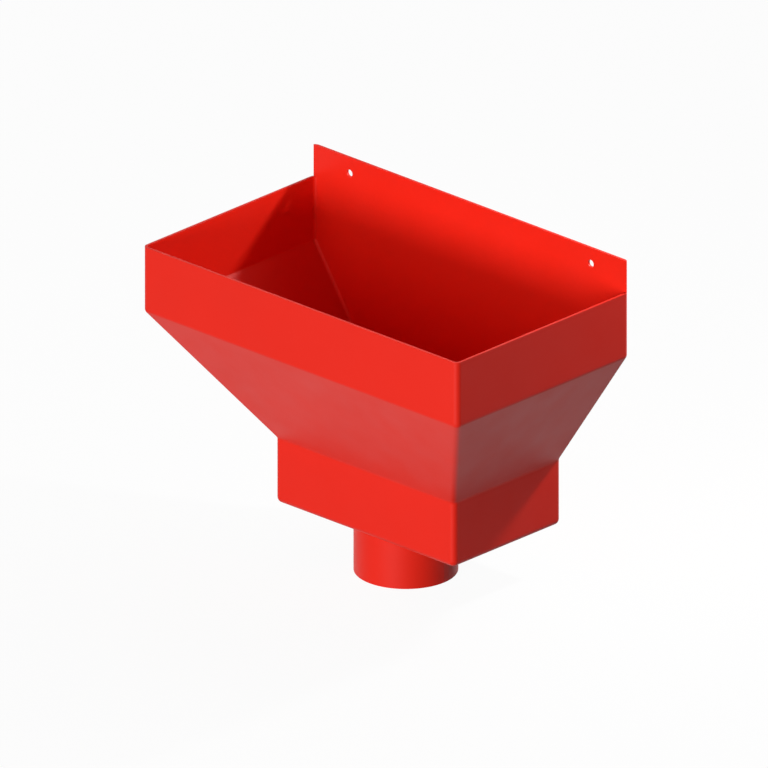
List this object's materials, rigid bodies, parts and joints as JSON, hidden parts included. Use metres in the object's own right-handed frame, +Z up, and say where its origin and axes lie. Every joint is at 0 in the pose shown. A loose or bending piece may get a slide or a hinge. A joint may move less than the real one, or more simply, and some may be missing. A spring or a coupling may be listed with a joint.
{
  "type": "downpipe hopper head",
  "caption": "Open tapered rainwater hopper with a flat back upstand for wall screws and a round outlet spigot for a downpipe.",
  "frame": {"origin": "middle of the outlet spigot's lower end, on its axis, where the downpipe's socket begins", "axes": "+Z up; +Y towards the wall that the flat back is fixed to; +X along the wall, to the right seen from the front"},
  "size_m": [0.31, 0.179, 0.2635],
  "materials": {
    "red_coating": "satin"
  },
  "bodies": {
    "root": {"hopper_head": "red_coating"}
  },
  "joints": []
}
